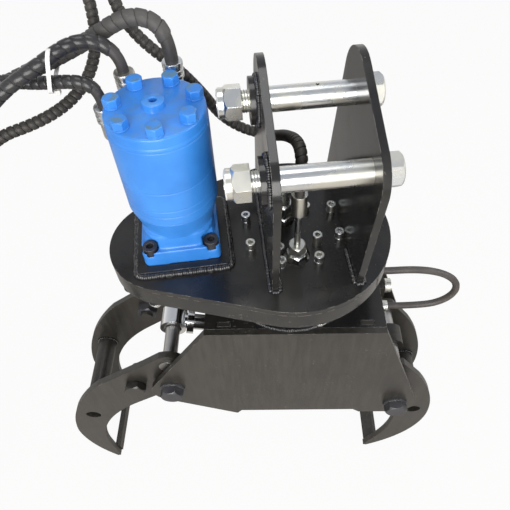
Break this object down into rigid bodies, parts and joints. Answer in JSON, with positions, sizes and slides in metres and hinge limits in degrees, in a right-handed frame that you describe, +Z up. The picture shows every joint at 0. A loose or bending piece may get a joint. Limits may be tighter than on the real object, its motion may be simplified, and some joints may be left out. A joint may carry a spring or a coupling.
{
  "type": "hydraulic log grapple",
  "caption": "Log grapple with two curved twin-plate claws closed by one cylinder, a slewing head turned by an orbital motor, a pinned hanger bracket and trailing hoses.",
  "frame": {"origin": "centre of the main hanger pin, midway between the two ears", "axes": "+X along the hanger pins, from their nuts towards their heads; +Z up along the slewing axis; +Y from the main pin towards the link pin. The lower frame is stored turned 5.8 degrees clockwise, seen from above"},
  "size_m": [1.1541, 0.5996, 1.2533],
  "materials": {
    "black_paint": "satin black enamel, worn bright along the edges",
    "blue_paint": "semi-gloss blue enamel",
    "zinc": "zinc plated",
    "bare_steel": "machined, oiled",
    "black_oxide": "blackened steel",
    "weld": "glossy black paint over a weld bead",
    "hose": "black rubber under a spiral wrap",
    "chrome_rod": "hard chromed"
  },
  "bodies": {
    "upper": {"gear_case_top": "black_paint", "gear_case_skirt": "black_paint", "gear_case_cover": "black_paint", "cover_screws": "zinc", "inner_ring": "bare_steel", "slew_screws": "zinc", "slew_washers": "zinc", "swivel_stator": "bare_steel", "swivel_screws": "zinc", "swivel_adapters": "zinc", "motor_pad": "black_paint", "pad_weld": "weld", "motor_housing": "blue_paint", "motor_gerotor": "blue_paint", "motor_cover": "blue_paint", "motor_cover_bolts": "blue_paint", "motor_flange_screws": "black_oxide", "port_fittings": "zinc", "ear_left": "black_paint", "ear_right": "black_paint", "ear_welds": "weld", "pin_collars": "black_paint", "main_pin": "zinc", "link_pin": "zinc", "pin_nuts": "zinc", "hose_1": "hose", "hose_2": "hose", "hose_3": "hose", "hose_4": "hose", "hose_ends": "zinc"},
    "motor_shaft": {"pinion": "bare_steel"},
    "turret": {"ring_gear": "bare_steel", "neck_drum": "black_paint", "swivel_rotor": "bare_steel", "frame_top": "black_paint", "frame_front": "black_paint", "frame_rear": "black_paint", "frame_ribs": "black_paint", "pivot_bolts": "black_oxide", "pivot_nuts": "black_oxide", "pivot_bushes": "black_oxide", "jumper_hose": "hose", "jumper_fittings": "zinc", "port_block": "black_paint"},
    "claw_left": {"wide_plate_front": "black_paint", "wide_plate_rear": "black_paint", "wide_tube": "black_paint", "wide_tip_bar": "black_paint", "wide_pin": "bare_steel", "stop_bolts": "black_paint", "stop_nuts": "black_oxide"},
    "claw_right": {"narrow_plate_front": "black_paint", "narrow_plate_rear": "black_paint", "narrow_tube": "black_paint", "narrow_tip_bar": "black_paint", "narrow_pin": "bare_steel"},
    "barrel": {"barrel": "black_paint", "gland": "black_paint"},
    "rod": {"rod": "chrome_rod"}
  },
  "joints": [
    {"name": "slew", "type": "hinge", "parent": "upper", "child": "turret", "pos_m": [-0.0191, 0.077, -0.173], "axis": [0, 0, 1], "continuous": true},
    {"name": "motor_turn", "type": "hinge", "parent": "upper", "child": "motor_shaft", "pos_m": [-0.173, 0.082, -0.173], "axis": [0, 0, 1], "continuous": true},
    {"name": "grip", "type": "hinge", "parent": "turret", "child": "claw_left", "pos_m": [-0.22404, 0.09782, -0.469], "axis": [-0.1011, -0.9949, 0], "range_deg": [-8, 50]},
    {"name": "grip_narrow", "type": "hinge", "parent": "turret", "child": "claw_right", "pos_m": [0.1759, 0.05719, -0.547], "axis": [0.1011, 0.9949, 0], "range_deg": [-5.14, 31.6]},
    {"name": "barrel_tilt", "type": "hinge", "parent": "claw_right", "child": "barrel", "pos_m": [0.17391, 0.0574, -0.495], "axis": [0.1011, 0.9949, 0], "range_deg": [-34.35, 5.58]},
    {"name": "rod_stroke", "type": "slide", "parent": "barrel", "child": "rod", "axis": [-0.9769, 0.0992, 0.189], "range_m": [-0.0106, 0.0652]}
  ],
  "couplings": [
    {"joint": "motor_turn", "follows": "slew", "ratio": -3.5294},
    {"joint": "grip_narrow", "follows": "grip", "ratio": 0.63},
    {"joint": "barrel_tilt", "follows": "grip", "ratio": -0.685},
    {"joint": "rod_stroke", "follows": "grip", "m_per_rad": 0.074485}
  ]
}
